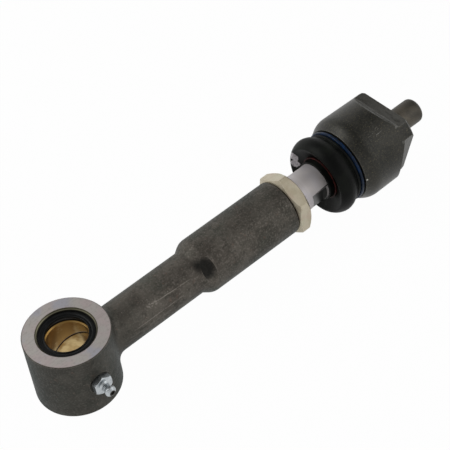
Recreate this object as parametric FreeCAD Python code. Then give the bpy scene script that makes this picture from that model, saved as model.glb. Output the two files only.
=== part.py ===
import FreeCAD, Part
import math
import os

# Steering tie rod: a forged eye end with a bronze bush, a screwed-in ball stud and an axial ball joint.
# The origin is the centre of the eye bore. +Z is the bore axis and +X runs along the rod to the ball joint.
# All sizes are in millimetres and all angles in degrees.

# Clearances
running_gap = 0.05
seat_gap = 0.02

# Eye of the forging
eye_diameter = 50.0
eye_height = 44.5
eye_top_edge = 0.5
eye_bottom_edge = 1.6
eye_blend = 6.5
mouth_chamfer = 1.45

# Bush and lip seals in the eye
bush_bore = 25.0
bush_wall = 1.5
bush_length = 32.0
bush_edge = 0.7
seal_section = 3.5
seal_height = 4.6
seal_rim = 1.5
seal_groove_depth = 1.4
seal_web = 1.3
lip_wall = 0.9

# Shank and threaded tube of the forging
shank_diameter = 27.5
shank_length = 85.4
step_length = 5.8
step_inner_round = 3.0
step_outer_round = 9.0
tube_diameter = 35.0
tube_length = 64.9
tube_edge = 1.0
thread_diameter = 24.0
thread_depth = 58.0
drill_angle = 118.0
thread_lead_in = 1.2

# Round hollow across the step, on one side of the forging only
hollow_radius = 5.7
hollow_floor = 13.9
hollow_back = 2.7
hollow_angle = 148.0

# Grease nipple in the side of the eye
nipple_thread = 8.0
nipple_thread_length = 5.4
nipple_hex = 11.0
nipple_hex_height = 4.2
nipple_height = 11.4
nipple_head = 6.5
nipple_neck = 4.7
nipple_bore = 3.3
nipple_mouth = 2.2
nipple_spot_diameter = 14.0
nipple_spot_depth = 1.1
tool_reach = 8.0
check_ball = 3.0
check_spring_wire = 0.4
check_spring_turns = 4
lube_hole = 4.0

# Jam nut
nut_across_flats = 36.0
nut_height = 9.2
nut_front_chamfer = 1.7
nut_back_chamfer = 3.0
nut_face_share = 0.95
nut_corner_radius = 20.4
nut_gap = 0.2
nut_angle = 30.0

# Ball stud
rod_in_tube = 51.0
rod_out_of_tube = 61.9
rod_end_chamfer = 1.5
wrench_across = 20.0
wrench_start = 16.4
wrench_length = 11.0
wrench_angle = 193.0
ball_diameter = 34.0
ball_flat = 1.5
neck_diameter = 16.0
neck_length = 8.8
neck_taper = 4.0
neck_blend = 3.0
swing_limit = 25.0

# Ball seats, retaining ring and disc spring
seat_wall = 2.9
seat_floor = 1.35
front_seat_height = 10.45
seat_lip = 2.6
retaining_ring_height = 2.45
retaining_ring_wall = 3.75
spring_height = 2.1
spring_thickness = 1.3
spring_bore = 14.0
spring_diameter = 24.0
grease_hole = 8.0

# Housing of the ball joint
mouth_clearance = 1.15
mouth_wall = 2.8
mouth_lip = 4.2
boss_length = 3.45
shoulder_rise = 3.2
shoulder_length = 12.0
housing_wall = 7.6
housing_taper = 0.4
housing_floor = 6.4
rear_edge = 1.2
pin_diameter = 16.0
pin_length = 25.5
pin_end_round = 3.0
pin_base_blend = 1.2

# Wrench flats at the back of the housing, one above and two low on the sides
flat_height = 19.75
flat_length = 7.7
flat_run_out = 46.0
flat_blend = 2.5
flat_spread = 106.0

# Boot, its clamp ring and its neck ring
boot_wall = 2.0
boot_length = 15.8
bulge_radius = 8.4
bulge_diameter = 50.6
bulge_front_slope = 40.0
bulge_rear_slope = 48.0
bulge_centre = 8.8
cuff_wall = 1.7
collar_wall = 1.0
collar_length = 6.0
dish_depth = 4.6
dish_radius = 20.6
clamp_ring_section = 2.0
neck_ring_section = 1.1

# Places worked out from the sizes above
eye_radius = eye_diameter / 2
half_height = eye_height / 2
rod_radius = thread_diameter / 2
bush_radius = bush_bore / 2
bush_outer = bush_radius + bush_wall
seal_radius = bush_radius + seal_section
seal_floor = bush_length / 2
tube_radius = tube_diameter / 2
tube_start = shank_length + step_length
tube_end = tube_start + tube_length
nipple_seat = eye_radius - nipple_spot_depth
nipple_tip = nipple_seat + nipple_height

ball_x = tube_end + rod_out_of_tube
ball_radius = ball_diameter / 2
neck_radius = neck_diameter / 2
socket_radius = ball_radius + running_gap
seat_radius = socket_radius + seat_wall
cavity_radius = seat_radius + running_gap
seat_front = ball_x - front_seat_height
ring_back = seat_front - running_gap
ring_front = ring_back - retaining_ring_height
lip_back = ring_front - running_gap
mouth_x = lip_back - mouth_lip
seat_back = ball_x + socket_radius + seat_floor
spring_front = seat_back + running_gap
cavity_floor = spring_front + spring_height + running_gap
housing_back = cavity_floor + housing_floor
housing_radius = cavity_radius + housing_wall
pin_end = housing_back + pin_length

swing = math.radians(swing_limit)
mouth_reach = ball_x - mouth_x
mouth_radius = mouth_reach * math.tan(swing) + neck_radius / math.cos(swing) + mouth_clearance
boss_radius = mouth_radius + mouth_wall
shoulder_x = mouth_x + boss_length

cuff_bore = boss_radius + running_gap
cuff_radius = cuff_bore + cuff_wall
bulge_x = mouth_x - bulge_centre
collar_x = mouth_x - boot_length
collar_bore = rod_radius + running_gap
collar_radius = collar_bore + collar_wall
clamp_ring_x = mouth_x + boss_length / 2
valley_x = collar_x + dish_depth


def vec(x, y=0.0, z=0.0):
    return FreeCAD.Vector(x, y, z)


def rounded_corner(before, here, after, radius):
    # The tangent arc that rounds a corner: its first, middle and last point.
    to_before = (before - here).normalize()
    to_after = (after - here).normalize()
    half_angle = to_before.getAngle(to_after) / 2
    middle_line = (to_before + to_after).normalize()
    centre = here + middle_line * (radius / math.sin(half_angle))
    reach = radius / math.tan(half_angle)
    return here + to_before * reach, centre - middle_line * radius, here + to_after * reach


def outline_face(corners):
    # A closed outline in the XY plane. A corner is (x, y), or (x, y, radius) where it is rounded.
    points = [vec(corner[0], corner[1]) for corner in corners]
    arcs = []
    for index, corner in enumerate(corners):
        here = points[index]
        if len(corner) == 2:
            arcs.append((here, None, here))
            continue
        after = points[(index + 1) % len(points)]
        arcs.append(rounded_corner(points[index - 1], here, after, corner[2]))
    edges = []
    for index, (first, middle, last) in enumerate(arcs):
        if middle is not None:
            edges.append(Part.Arc(first, middle, last).toShape())
        following = arcs[(index + 1) % len(arcs)][0]
        if last.distanceToPoint(following) > 1e-6:
            edges.append(Part.LineSegment(last, following).toShape())
    return Part.Face(Part.Wire(edges))


def turned(corners):
    # A solid turned about the X axis, from an outline of (distance along the axis, radius).
    return outline_face(corners).revolve(vec(0), vec(1), 360)


def about_z(shape):
    return shape.rotate(vec(0), vec(0, 1), -90)


def about_minus_y(shape):
    return shape.rotate(vec(0), vec(0, 0, 1), -90)


def rod_along_x(radius, start, end):
    return Part.makeCylinder(radius, end - start, vec(start), vec(1))


def hexagon(across_flats, start, end, angle=0.0):
    corner = across_flats / math.sqrt(3)
    turns = [math.radians(angle + 60 * index) for index in range(7)]
    ring = [vec(start, corner * math.cos(turn), corner * math.sin(turn)) for turn in turns]
    return Part.Face(Part.makePolygon(ring)).extrude(vec(end - start))


def chamfered_hexagon(across_flats, start, end, front_rise, back_rise, face_radius, angle=0.0):
    # A hexagon whose corners are turned down to a cone at both ends.
    corner = across_flats / math.sqrt(3)
    cone = turned([(start, 0), (start, face_radius), (start + front_rise, corner),
                   (end - back_rise, corner), (end, face_radius), (end, 0)])
    return hexagon(across_flats, start, end, angle).common(cone)


def meeting_edges(shape, eye_r, shank_r):
    # The edges where the shank's cylinder meets the eye's wall.
    found = []
    for edge in shape.Edges:
        middle = edge.valueAt((edge.FirstParameter + edge.LastParameter) / 2)
        on_eye = abs(math.hypot(middle.x, middle.y) - eye_r) < 1e-3
        on_shank = abs(math.hypot(middle.y, middle.z) - shank_r) < 1e-3
        if on_eye and on_shank:
            found.append(edge)
    return found


def eye_blank():
    return about_z(turned([(-half_height, 0),
                           (-half_height, eye_radius - eye_bottom_edge),
                           (-half_height + eye_bottom_edge, eye_radius),
                           (half_height - eye_top_edge, eye_radius),
                           (half_height, eye_radius - eye_top_edge),
                           (half_height, 0)]))


def shank_and_tube():
    shank_radius = shank_diameter / 2
    return turned([(0, 0), (0, shank_radius), (shank_length, shank_radius, step_inner_round),
                   (tube_start, tube_radius, step_outer_round),
                   (tube_end - tube_edge, tube_radius),
                   (tube_end, tube_radius - tube_edge),
                   (tube_end, 0)])


def step_hollow():
    # The round cutter that leaves the hollow: its axis lies across the rod, just outside the tube.
    cutter = Part.makeCylinder(hollow_radius, 2 * tube_diameter,
                               vec(tube_start - hollow_back, hollow_floor + hollow_radius, -tube_diameter),
                               vec(0, 0, 1))
    return cutter.rotate(vec(0), vec(1), hollow_angle)


def tube_bore():
    bore = rod_radius + running_gap
    bottom = tube_end - thread_depth
    tip = bottom - bore / math.tan(math.radians(drill_angle / 2))
    return turned([(tip, 0), (bottom, bore),
                   (tube_end - thread_lead_in, bore),
                   (tube_end, bore + thread_lead_in),
                   (tube_end + 1, bore + thread_lead_in),
                   (tube_end + 1, 0)])


def eye_bore():
    # The stepped bore: the bush in the middle, a seal seat and a chamfered mouth at each face.
    mouth = seal_radius + mouth_chamfer
    above = half_height + 1
    upper = [(seal_floor, bush_outer), (seal_floor, seal_radius),
             (half_height - mouth_chamfer, seal_radius), (half_height, mouth),
             (above, mouth), (above, 0)]
    lower = [(-x, radius) for x, radius in reversed(upper)]
    return about_z(turned(lower + upper))


def nipple_hole():
    hole = about_minus_y(rod_along_x(nipple_thread / 2, 0, eye_radius))
    spot = about_minus_y(rod_along_x(nipple_spot_diameter / 2, nipple_seat, eye_radius + tool_reach))
    return hole.fuse(spot)


def eye_forging():
    blank = eye_blank().fuse(shank_and_tube())
    edges = meeting_edges(blank, eye_radius, shank_diameter / 2)
    blended = blank.makeFillet(eye_blend, edges)
    return blended.cut([tube_bore(), step_hollow(), eye_bore(), nipple_hole()])


def eye_bush():
    half = bush_length / 2 - seat_gap
    outer = bush_outer - seat_gap
    bore = bush_radius
    shell = about_z(turned([(-half, bore + bush_edge), (-half, outer), (half, outer),
                            (half, bore + bush_edge), (half - bush_edge, bore),
                            (bush_edge - half, bore)]))
    hole = about_minus_y(rod_along_x(lube_hole / 2, 0, bush_outer + 1))
    return shell.cut(hole)


def lip_seal(side):
    # A rubber-covered ring pressed in above the bush, with a groove behind a lip that wipes the pin.
    low = seal_floor + seat_gap
    high = seal_floor + seal_height
    outer = seal_radius - seat_gap
    groove_out = outer - seal_rim
    lip = bush_radius + running_gap
    groove_in = lip + lip_wall
    groove_floor = high - seal_groove_depth
    ring = turned([(low, groove_out - seal_web), (low, outer), (high, outer), (high, groove_out),
                   (groove_floor, groove_out), (groove_floor, groove_in), (high, groove_in),
                   (high, lip + lip_wall / 2), (high - lip_wall, lip),
                   (groove_floor - seal_web / 2, lip + lip_wall / 2),
                   (groove_floor - seal_web, groove_out - seal_web)])
    ring = about_z(ring)
    return ring if side > 0 else ring.mirror(vec(0), vec(0, 0, 1))


def grease_nipple():
    inner_end = nipple_seat - nipple_thread_length
    hex_top = nipple_seat + nipple_hex_height
    thread = nipple_thread / 2 - seat_gap
    neck = nipple_neck / 2
    head = nipple_head / 2
    body = turned([(inner_end, 0), (inner_end, thread - 0.5), (inner_end + 0.5, thread),
                   (nipple_seat + 0.5, thread), (nipple_seat + 0.5, head),
                   (hex_top, head), (hex_top + 1.2, neck), (hex_top + 2.9, neck),
                   (nipple_tip - 2.6, head, 0.9), (nipple_tip - 1.4, head, 0.9),
                   (nipple_tip, nipple_mouth / 2 + 0.8), (nipple_tip, 0)])
    hexagonal = chamfered_hexagon(nipple_hex, nipple_seat + seat_gap, hex_top, 0.6, 0.6,
                                  nipple_hex / 2 - 0.1, 30)
    stop = nipple_tip - 1.0
    bore = turned([(inner_end - 1, 0), (inner_end - 1, nipple_bore / 2), (stop - 0.6, nipple_bore / 2),
                   (stop, nipple_mouth / 2), (nipple_tip + 1, nipple_mouth / 2), (nipple_tip + 1, 0)])
    return about_minus_y(body.fuse(hexagonal).cut(bore))


def check_ball_x():
    # The ball rests against the cone behind the nipple's mouth.
    radius = check_ball / 2
    stop = nipple_tip - 1.0
    cone_angle = math.atan2(nipple_bore / 2 - nipple_mouth / 2, 0.6)
    reach = (radius + seat_gap - nipple_mouth / 2 * math.cos(cone_angle)) / math.sin(cone_angle)
    return stop - reach


def nipple_ball():
    return Part.makeSphere(check_ball / 2, vec(0, -check_ball_x()))


def nipple_spring():
    # A small helical spring that presses the check ball outwards.
    coil = nipple_bore / 2 - check_spring_wire / 2 - 0.15
    inner_end = nipple_seat - nipple_thread_length
    front = check_ball_x() - check_ball / 2 - check_spring_wire
    back = inner_end + 1.5
    height = front - back
    helix = Part.makeHelix(height / check_spring_turns, height, coil)
    wire_edge = Part.makeCircle(check_spring_wire / 2, vec(coil), vec(0, 1))
    coil_solid = helix.makePipeShell([Part.Wire(wire_edge)], True, True)
    coil_solid.translate(vec(0, 0, back))
    return coil_solid.rotate(vec(0), vec(1), 90)


def jam_nut():
    start = tube_end + nut_gap
    end = start + nut_height
    face = nut_face_share * nut_across_flats / 2
    body = chamfered_hexagon(nut_across_flats, start, end, nut_front_chamfer, nut_back_chamfer,
                             face, nut_angle)
    body = body.common(rod_along_x(nut_corner_radius, start, end))
    bore = rod_radius + running_gap
    hole = turned([(start - 1, 0), (start - 1, bore + 1), (start, bore + 1), (start + 1, bore),
                   (end - 1, bore), (end, bore + 1), (end + 1, bore + 1), (end + 1, 0)])
    return body.cut(hole)


def wrench_cut():
    # Two flats on the rod for holding it while the length is set.
    start = tube_end + wrench_start
    side = thread_diameter
    block = Part.makeBox(wrench_length, side, side, vec(start, wrench_across / 2, -side / 2))
    other = block.copy().rotate(vec(0), vec(1), 180)
    return block.fuse(other).rotate(vec(0), vec(1), wrench_angle)


def ball_stud():
    start = tube_end - rod_in_tube
    neck_start = ball_x - math.sqrt(ball_radius ** 2 - neck_radius ** 2) - neck_length
    shaft = turned([(start, 0), (start, rod_radius - rod_end_chamfer),
                    (start + rod_end_chamfer, rod_radius),
                    (neck_start - neck_taper, rod_radius, neck_blend),
                    (neck_start, neck_radius, neck_blend), (ball_x, neck_radius), (ball_x, 0)])
    ball = Part.makeSphere(ball_radius, vec(ball_x))
    beyond = rod_along_x(ball_radius, ball_x + ball_radius - ball_flat, ball_x + ball_diameter)
    return shaft.fuse(ball).cut([beyond, wrench_cut()])


def socket_ball():
    return Part.makeSphere(socket_radius, vec(ball_x))


def front_seat():
    # The half shell that keeps the ball in, with a flared opening for the neck.
    opening = math.sqrt(socket_radius ** 2 - (front_seat_height - seat_lip) ** 2)
    body = rod_along_x(seat_radius, seat_front, ball_x - running_gap)
    flare = turned([(seat_front - 1, 0), (seat_front - 1, opening + 1.0),
                    (seat_front, opening + 0.7), (seat_front + seat_lip, opening), (ball_x, 0)])
    return body.cut([socket_ball(), flare])


def rear_cone(gap):
    # The cone that the rear seat and the housing's cavity share, with its start and its small radius.
    small = spring_diameter / 2 + 0.2 + gap
    start = seat_back - (seat_radius - small) + gap
    return start, small


def rear_seat():
    start, small = rear_cone(0.0)
    cup = turned([(ball_x + running_gap, 0), (ball_x + running_gap, seat_radius), (start, seat_radius),
                  (seat_back, small), (seat_back, 0)])
    hole = rod_along_x(grease_hole / 2, ball_x, seat_back + 1)
    return cup.cut([socket_ball(), hole])


def retaining_ring():
    outer = seat_radius
    return turned([(ring_front, outer - retaining_ring_wall), (ring_front, outer),
                   (ring_back, outer), (ring_back, outer - retaining_ring_wall)])


def seat_spring():
    # A disc spring: a shallow cone washer between the rear seat and the housing's floor.
    inner = spring_bore / 2
    outer = spring_diameter / 2
    cone_rise = spring_height - spring_thickness
    return turned([(spring_front, inner), (spring_front + spring_thickness, inner),
                   (spring_front + spring_height, outer), (spring_front + cone_rise, outer)])


def housing_cavity():
    start, small = rear_cone(running_gap)
    return turned([(mouth_x - 1, 0), (mouth_x - 1, mouth_radius + 1), (mouth_x, mouth_radius),
                   (lip_back, mouth_radius - 1), (lip_back, cavity_radius),
                   (start, cavity_radius), (seat_back + running_gap, small),
                   (cavity_floor, small), (cavity_floor, 0)])


def wrench_flat(angle):
    # The block that is cut away for one flat, with a sloping run-out in front of it.
    front = housing_back - flat_length
    top = housing_radius + tool_reach
    run = (top - flat_height) / math.tan(math.radians(flat_run_out))
    profile = outline_face([(front - run, top), (front, flat_height, flat_blend),
                            (housing_back + tool_reach, flat_height),
                            (housing_back + tool_reach, top)])
    wedge = profile.extrude(vec(0, 0, 2 * top)).translate(vec(0, 0, -top))
    return wedge.rotate(vec(0), vec(1), angle)


def housing():
    pin_radius = pin_diameter / 2
    shoulder_radius = boss_radius + shoulder_rise
    blank = turned([(mouth_x, 0), (mouth_x, boss_radius), (shoulder_x, boss_radius),
                    (shoulder_x, shoulder_radius),
                    (shoulder_x + shoulder_length / 2, housing_radius, shoulder_length),
                    (housing_back - rear_edge, housing_radius - housing_taper, rear_edge),
                    (housing_back, housing_radius - housing_taper - rear_edge),
                    (housing_back, pin_radius, pin_base_blend),
                    (pin_end, pin_radius, pin_end_round), (pin_end, 0)])
    flats = [wrench_flat(90), wrench_flat(90 + flat_spread), wrench_flat(90 - flat_spread)]
    return blank.cut(flats + [housing_cavity()])


def bulge_corners(radius, top, rear_end):
    # The corners around the boot's bulge: its rear foot, two corners that one arc joins, its front foot.
    rear_turn = math.radians(bulge_rear_slope)
    front_turn = math.radians(bulge_front_slope)
    rear_corner = bulge_x + radius * math.tan(rear_turn / 2)
    front_corner = bulge_x - radius * math.tan(front_turn / 2)
    rear_foot = (rear_corner + (top - rear_end) / math.tan(rear_turn), rear_end)
    return rear_foot, (rear_corner, top, radius), (front_corner, top, radius), front_turn


def boot():
    top = bulge_diameter / 2
    foot, rear, front, front_turn = bulge_corners(bulge_radius, top, cuff_radius - 1.2)
    crest = (front[0] - (top - dish_radius - 1.5) / math.tan(front_turn), dish_radius + 1.5)
    groove = clamp_ring_section / 2 + running_gap
    groove_floor = cuff_radius - 1.1
    inner_top = top - boot_wall
    inner_radius = bulge_radius - boot_wall
    inner_foot, inner_rear, inner_front, turn = bulge_corners(inner_radius, inner_top, cuff_bore - 0.6)
    inner_crest = (inner_front[0] - (inner_top - dish_radius - 0.9) / math.tan(turn), dish_radius + 0.9)
    return turned([(shoulder_x - 0.05, cuff_bore), (shoulder_x - 0.05, cuff_radius),
                   (clamp_ring_x + groove, cuff_radius), (clamp_ring_x + groove, groove_floor),
                   (clamp_ring_x - groove, groove_floor), (clamp_ring_x - groove, cuff_radius),
                   (foot[0] + 0.6, cuff_radius), foot, rear, front,
                   crest + (1.2,), (crest[0] + 1.5, dish_radius - 1.0, 2.0),
                   (valley_x, collar_radius + neck_ring_section + 0.4),
                   (valley_x, collar_radius), (collar_x + 0.3, collar_radius),
                   (collar_x, collar_radius - 0.3), (collar_x, collar_bore),
                   (collar_x + collar_length, collar_bore),
                   (valley_x + boot_wall, collar_radius + neck_ring_section + 1.0),
                   inner_crest + (0.3,), inner_front, inner_rear, inner_foot,
                   (mouth_x - 0.3, cuff_bore)])


def boot_clamp_ring():
    half = clamp_ring_section / 2
    low = cuff_radius - 1.1 + running_gap
    return turned([(clamp_ring_x - half, low, half * 0.8), (clamp_ring_x - half, low + 2 * half, half * 0.8),
                   (clamp_ring_x + half, low + 2 * half, half * 0.8), (clamp_ring_x + half, low, half * 0.8)])


def boot_neck_ring():
    half = neck_ring_section / 2
    centre_x = valley_x - half - running_gap
    low = collar_radius + running_gap
    return turned([(centre_x - half, low, half * 0.8), (centre_x - half, low + 2 * half, half * 0.8),
                   (centre_x + half, low + 2 * half, half * 0.8), (centre_x + half, low, half * 0.8)])


pieces = {
    "eye_forging": eye_forging,
    "eye_bush": eye_bush,
    "upper_seal": lambda: lip_seal(1),
    "lower_seal": lambda: lip_seal(-1),
    "grease_nipple": grease_nipple,
    "nipple_ball": nipple_ball,
    "nipple_spring": nipple_spring,
    "jam_nut": jam_nut,
    "ball_stud": ball_stud,
    "front_seat": front_seat,
    "rear_seat": rear_seat,
    "seat_spring": seat_spring,
    "retaining_ring": retaining_ring,
    "housing": housing,
    "boot": boot,
    "boot_clamp_ring": boot_clamp_ring,
    "boot_neck_ring": boot_neck_ring,
}

os.makedirs("parts", exist_ok=True)
for name, make in pieces.items():
    shape = make()
    if len(shape.Solids) == 1:
        shape = shape.Solids[0]
    shape.exportStep("parts/" + name + ".step")
    box = shape.BoundBox
    print(name, "solids", len(shape.Solids), "valid", shape.isValid(), "volume", round(shape.Volume, 1),
          "x", round(box.XMin, 2), round(box.XMax, 2), "z", round(box.ZMin, 2), round(box.ZMax, 2))
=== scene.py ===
import math

import bmesh
import bpy
from mathutils import Matrix, Vector


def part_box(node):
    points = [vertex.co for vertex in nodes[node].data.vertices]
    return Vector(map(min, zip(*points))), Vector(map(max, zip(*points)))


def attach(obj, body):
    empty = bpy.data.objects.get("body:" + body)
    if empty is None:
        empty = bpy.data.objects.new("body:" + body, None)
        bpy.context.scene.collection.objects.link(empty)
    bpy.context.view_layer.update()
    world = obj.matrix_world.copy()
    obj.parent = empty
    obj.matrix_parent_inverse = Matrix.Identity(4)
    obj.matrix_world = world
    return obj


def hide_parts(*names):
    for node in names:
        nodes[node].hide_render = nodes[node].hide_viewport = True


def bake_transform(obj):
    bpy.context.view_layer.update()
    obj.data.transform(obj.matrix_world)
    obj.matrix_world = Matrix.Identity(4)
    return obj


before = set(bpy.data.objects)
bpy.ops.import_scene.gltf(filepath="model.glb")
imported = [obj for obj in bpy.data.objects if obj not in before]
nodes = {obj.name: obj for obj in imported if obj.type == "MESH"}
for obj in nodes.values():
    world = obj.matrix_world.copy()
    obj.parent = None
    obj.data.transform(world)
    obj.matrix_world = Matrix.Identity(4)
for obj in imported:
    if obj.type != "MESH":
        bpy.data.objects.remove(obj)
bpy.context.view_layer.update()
mm = 0.001
rodAxis = (1, 0, 0)  # the rod and all that is turned on it
eyeAxis = (0, 0, 1)  # the eye, its bush and seals
print("frame loaded, nodes:", len(nodes))


def linearColour(hexCode):
    # an sRGB hex colour as the linear one that a shader takes
    parts = [int(hexCode[i:i + 2], 16) / 255 for i in (1, 3, 5)]
    return tuple(p / 12.92 if p <= 0.04045 else ((p + 0.055) / 1.055) ** 2.4 for p in parts) + (1.0,)


def perMm(size):
    # the scale at which a texture's features are that many millimetres wide
    return 1000.0 / size


def addNode(tree, kind, inputs=None, **settings):
    node = tree.nodes.new(kind)
    for name, value in settings.items():
        setattr(node, name, value)
    for key, value in (inputs or {}).items():
        if isinstance(value, bpy.types.NodeSocket):
            tree.links.new(value, node.inputs[key])
        else:
            node.inputs[key].default_value = value
    return node


def product(tree, masks):
    # masks laid on one another; a plain number among them weakens the rest
    whole = masks[0]
    for mask in masks[1:]:
        whole = addNode(tree, "ShaderNodeMath", {0: whole, 1: mask}, operation="MULTIPLY").outputs[0]
    return whole


def tint(tree, mask, under, over):
    # lays one colour over another where the mask is 1
    under, over = [linearColour(colour) if isinstance(colour, str) else colour for colour in (under, over)]
    return addNode(tree, "ShaderNodeMix", {0: mask, 6: under, 7: over}, data_type="RGBA").outputs[2]


def patches(tree, place, plan):
    # a soft mask of 0 to 1: the patches' size is in mm, and they fade in between two levels of the noise
    if "mapping" in plan:
        place = addNode(tree, "ShaderNodeMapping", {"Vector": place, **plan["mapping"]}).outputs[0]
    noise = addNode(tree, "ShaderNodeTexNoise",
                    {"Vector": place, "Scale": perMm(plan["size"]), "Detail": plan.get("detail", 4.0)})
    low, high = plan["levels"]
    return addNode(tree, "ShaderNodeMapRange",
                   {"Value": noise.outputs["Fac"], "From Min": low, "From Max": high},
                   interpolation_type="SMOOTHSTEP").outputs["Result"]


def fromAxis(tree, place, axis):
    # the distance from an axis through the origin
    across = [1 - part for part in axis]
    flat = addNode(tree, "ShaderNodeVectorMath", {0: place, 1: across}, operation="MULTIPLY").outputs[0]
    return addNode(tree, "ShaderNodeVectorMath", {0: flat}, operation="LENGTH").outputs["Value"]


def latheLines(tree, place, turned):
    # the rings of a turned surface: they step along the axis on a wall and outwards on a face. Real ones
    # lie about 0.2 mm apart and would not show in the render, so every pitch here is 0.5 mm or more
    radius = fromAxis(tree, place, turned["axis"])
    height = addNode(tree, "ShaderNodeVectorMath", {0: place, 1: turned["axis"]},
                     operation="DOT_PRODUCT").outputs["Value"]
    feed = addNode(tree, "ShaderNodeMath", {0: radius, 1: height}, operation="ADD").outputs[0]
    return addNode(tree, "ShaderNodeTexNoise", {"W": feed, "Scale": perMm(turned["pitch"]), "Detail": 2.0},
                   noise_dimensions="1D").outputs["Fac"]


# How alike the rounded and the true normal are where an edge's wear begins and where it is full
edgeLimits = {"begins": 0.985, "full": 0.90, "samples": 4}


def wornEdges(tree, width):
    # 1 along the edges, where the rounded normal leaves the true one
    rounded = addNode(tree, "ShaderNodeBevel", {"Radius": width * mm},
                      samples=edgeLimits["samples"]).outputs["Normal"]
    true = addNode(tree, "ShaderNodeNewGeometry").outputs["Normal"]
    likeness = addNode(tree, "ShaderNodeVectorMath", {0: rounded, 1: true},
                       operation="DOT_PRODUCT").outputs["Value"]
    return addNode(tree, "ShaderNodeMapRange",
                   {"Value": likeness, "From Min": edgeLimits["begins"], "From Max": edgeLimits["full"]},
                   interpolation_type="SMOOTHSTEP").outputs["Result"]


def shadeAlong(tree, place, shade):
    # grows from the low to the high share between two places in mm along X or Y
    part = addNode(tree, "ShaderNodeSeparateXYZ", {0: place}).outputs[shade["along"]]
    return addNode(tree, "ShaderNodeMapRange", {
        "Value": part, "From Min": shade["from"] * mm, "From Max": shade["to"] * mm,
        "To Min": shade.get("low", 0.0), "To Max": shade.get("high", 1.0)}).outputs["Result"]


def spotAt(tree, place, spot):
    # a ragged patch around a point in mm, with its three half sizes
    moved = addNode(tree, "ShaderNodeVectorMath", {0: place, 1: [c * mm for c in spot["centre"]]},
                    operation="SUBTRACT").outputs[0]
    share = addNode(tree, "ShaderNodeVectorMath", {0: moved, 1: [1 / (s * mm) for s in spot["half"]]},
                    operation="MULTIPLY").outputs[0]
    far = addNode(tree, "ShaderNodeVectorMath", {0: share}, operation="LENGTH").outputs["Value"]
    rough = addNode(tree, "ShaderNodeTexNoise",
                    {"Vector": place, "Scale": perMm(spot["grain"]), "Detail": 4.0}).outputs["Fac"]
    edge = addNode(tree, "ShaderNodeMath", {0: rough, 1: spot["ragged"], 2: far},
                   operation="MULTIPLY_ADD").outputs[0]
    limit = 1 + spot["ragged"] / 2
    return addNode(tree, "ShaderNodeMapRange",
                   {"Value": edge, "From Min": limit, "From Max": limit - spot["soft"]},
                   interpolation_type="SMOOTHSTEP").outputs["Result"]


# How every streak wavers, fades at its ends and breaks up, with sizes in mm
streakStyle = {
    "waver": 2.5,
    "fade": 4.0,
    "gaps": {"size": 2.0, "levels": (0.36, 0.60), "mapping": {"Scale": (0.25, 1, 1)}},
    "faintest": 0.25,
    "strongest": 0.9,
}


def streakRoundX(tree, place, streak):
    # a ragged, broken line along the rod. Its ends are (X in mm, degrees from +Y towards +Z), and its
    # width and the way it wanders are in degrees too
    (x0, a0), (x1, a1) = streak["from"], streak["to"]
    parts = addNode(tree, "ShaderNodeSeparateXYZ", {0: place}).outputs
    turn = addNode(tree, "ShaderNodeMath", {0: parts["Z"], 1: parts["Y"]}, operation="ARCTAN2").outputs[0]
    angle = addNode(tree, "ShaderNodeMath", {0: turn, 1: 180 / math.pi}, operation="MULTIPLY").outputs[0]
    slope = (a1 - a0) / ((x1 - x0) * mm)
    path = addNode(tree, "ShaderNodeMath", {0: parts["X"], 1: slope, 2: a0 - slope * x0 * mm},
                   operation="MULTIPLY_ADD").outputs[0]
    miss = addNode(tree, "ShaderNodeMath", {0: angle, 1: path}, operation="SUBTRACT").outputs[0]
    waver = addNode(tree, "ShaderNodeTexNoise",
                    {"Vector": place, "Scale": perMm(streakStyle["waver"]), "Detail": 3.0}).outputs["Fac"]
    shifted = addNode(tree, "ShaderNodeMath", {0: waver, 1: streak["wander"], 2: miss},
                      operation="MULTIPLY_ADD").outputs[0]
    centred = addNode(tree, "ShaderNodeMath", {0: shifted, 1: streak["wander"] / 2},
                      operation="SUBTRACT").outputs[0]
    off = addNode(tree, "ShaderNodeMath", {0: centred}, operation="ABSOLUTE").outputs[0]
    line = addNode(tree, "ShaderNodeMapRange", {"Value": off, "From Min": streak["width"], "From Max": 0.0},
                   interpolation_type="SMOOTHSTEP").outputs["Result"]
    middle = (x0 + x1) / 2 * mm
    reach = abs(x1 - x0) / 2 * mm
    away = addNode(tree, "ShaderNodeMath", {0: parts["X"], 1: middle}, operation="SUBTRACT").outputs[0]
    away = addNode(tree, "ShaderNodeMath", {0: away}, operation="ABSOLUTE").outputs[0]
    ends = addNode(tree, "ShaderNodeMapRange",
                   {"Value": away, "From Min": reach, "From Max": reach - streakStyle["fade"] * mm},
                   interpolation_type="SMOOTHSTEP").outputs["Result"]
    broken = addNode(tree, "ShaderNodeMapRange", {
        "Value": patches(tree, place, streakStyle["gaps"]),
        "To Min": streakStyle["faintest"], "To Max": streakStyle["strongest"]}).outputs["Result"]
    return product(tree, [line, ends, broken])


def nicksIn(tree, place, nicks):
    # small round dents about that many mm apart; outer and inner radius are shares of that distance
    cells = addNode(tree, "ShaderNodeTexVoronoi",
                    {"Vector": place, "Scale": perMm(nicks["apart"]), "Randomness": 1.0})
    return addNode(tree, "ShaderNodeMapRange", {
        "Value": cells.outputs["Distance"], "From Min": nicks["outer"], "From Max": nicks["inner"]},
        interpolation_type="SMOOTHSTEP").outputs["Result"]


def relief(tree, height, depth, under=None):
    # a bump of that depth in millimetres
    inputs = {"Height": height, "Distance": depth * mm}
    if under is not None:
        inputs["Normal"] = under
    return addNode(tree, "ShaderNodeBump", inputs).outputs["Normal"]


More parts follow.
